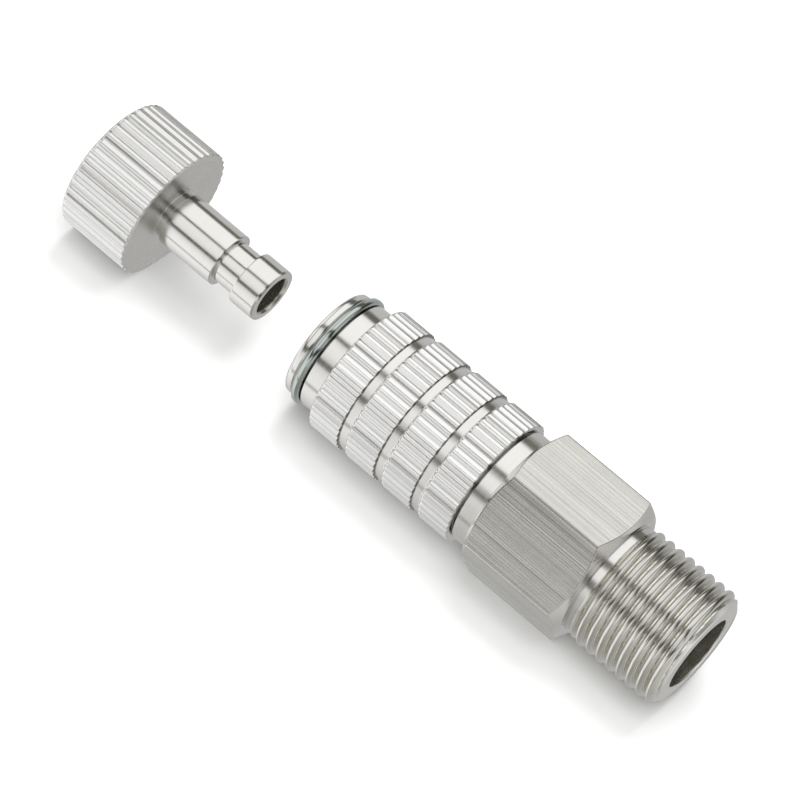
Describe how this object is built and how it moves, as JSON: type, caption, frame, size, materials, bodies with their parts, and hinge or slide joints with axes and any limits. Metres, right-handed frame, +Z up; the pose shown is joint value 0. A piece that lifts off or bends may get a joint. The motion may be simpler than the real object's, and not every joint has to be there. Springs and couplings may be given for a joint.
{
  "type": "quick disconnect coupler",
  "caption": "Small air line quick coupler: a knurled socket with sliding sleeve, ball lock, check valve and male thread, and a knurled plug that slides into it.",
  "frame": {"origin": "under the middle of the plug and socket together, level with their lowest points, the lower flat of the hexagon and the bottom of the plug's knurled head", "axes": "+X along the common axis from the plug to the socket's male thread, +Z up with one flat of the hexagon facing up"},
  "size_m": [0.0562, 0.0124, 0.0108],
  "materials": {
    "nickel": "nickel plate on brass: polished on turned faces, brushed along the hexagon",
    "nickel_ring": "polished plated spring ring",
    "steel": "ground and polished",
    "spring_steel": "drawn wire",
    "brass": "machined",
    "rubber": "moulded, matt",
    "fibre": "pressed fibre, matt"
  },
  "bodies": {
    "root": {"hex_body": "nickel", "barrel": "nickel", "stop_ring": "nickel_ring", "tip_seal": "rubber", "barrel_gasket": "fibre", "spring_seat": "steel", "valve_retainer": "brass", "retainer_clip": "spring_steel", "sleeve_spring": "spring_steel", "valve_spring": "spring_steel"},
    "sleeve_carrier": {"spring_front_washer": "steel"},
    "sleeve": {"sleeve": "nickel"},
    "poppet": {"poppet": "brass", "poppet_seal": "rubber"},
    "plug": {"plug_body": "nickel", "plug_gasket": "rubber"},
    "ball_1": {"locking_ball_1": "steel"},
    "ball_2": {"locking_ball_2": "steel"},
    "ball_3": {"locking_ball_3": "steel"},
    "ball_4": {"locking_ball_4": "steel"},
    "ball_5": {"locking_ball_5": "steel"},
    "ball_6": {"locking_ball_6": "steel"}
  },
  "joints": [
    {"name": "plug_slide", "type": "slide", "parent": "root", "child": "plug", "axis": [1, 0, 0], "range_m": [0, 0.01462]},
    {"name": "poppet_slide", "type": "slide", "parent": "root", "child": "poppet", "axis": [1, 0, 0], "range_m": [0, 0.0012], "deforming": ["valve_spring"]},
    {"name": "sleeve_slide", "type": "slide", "parent": "root", "child": "sleeve_carrier", "axis": [-1, 0, 0], "range_m": [0, 0.0012], "deforming": ["sleeve_spring"]},
    {"name": "sleeve_spin", "type": "hinge", "parent": "sleeve_carrier", "child": "sleeve", "pos_m": [0.00252, 0, 0.0054], "axis": [1, 0, 0], "continuous": true},
    {"name": "ball_1_slide", "type": "slide", "parent": "root", "child": "ball_1", "axis": [0, -0.5, 0.866], "range_m": [0, 0.00045]},
    {"name": "ball_2_slide", "type": "slide", "parent": "root", "child": "ball_2", "axis": [0, -1, 0], "range_m": [0, 0.00045]},
    {"name": "ball_3_slide", "type": "slide", "parent": "root", "child": "ball_3", "axis": [0, -0.5, -0.866], "range_m": [0, 0.00045]},
    {"name": "ball_4_slide", "type": "slide", "parent": "root", "child": "ball_4", "axis": [0, 0.5, -0.866], "range_m": [0, 0.00045]},
    {"name": "ball_5_slide", "type": "slide", "parent": "root", "child": "ball_5", "axis": [0, 1, 0], "range_m": [0, 0.00045]},
    {"name": "ball_6_slide", "type": "slide", "parent": "root", "child": "ball_6", "axis": [0, 0.5, 0.866], "range_m": [0, 0.00045]}
  ],
  "couplings": [
    {"joint": "poppet_slide", "follows": "plug_slide", "ratio": 0.082},
    {"joint": "ball_1_slide", "follows": "sleeve_slide", "ratio": 0.375},
    {"joint": "ball_2_slide", "follows": "sleeve_slide", "ratio": 0.375},
    {"joint": "ball_3_slide", "follows": "sleeve_slide", "ratio": 0.375},
    {"joint": "ball_4_slide", "follows": "sleeve_slide", "ratio": 0.375},
    {"joint": "ball_5_slide", "follows": "sleeve_slide", "ratio": 0.375},
    {"joint": "ball_6_slide", "follows": "sleeve_slide", "ratio": 0.375}
  ]
}
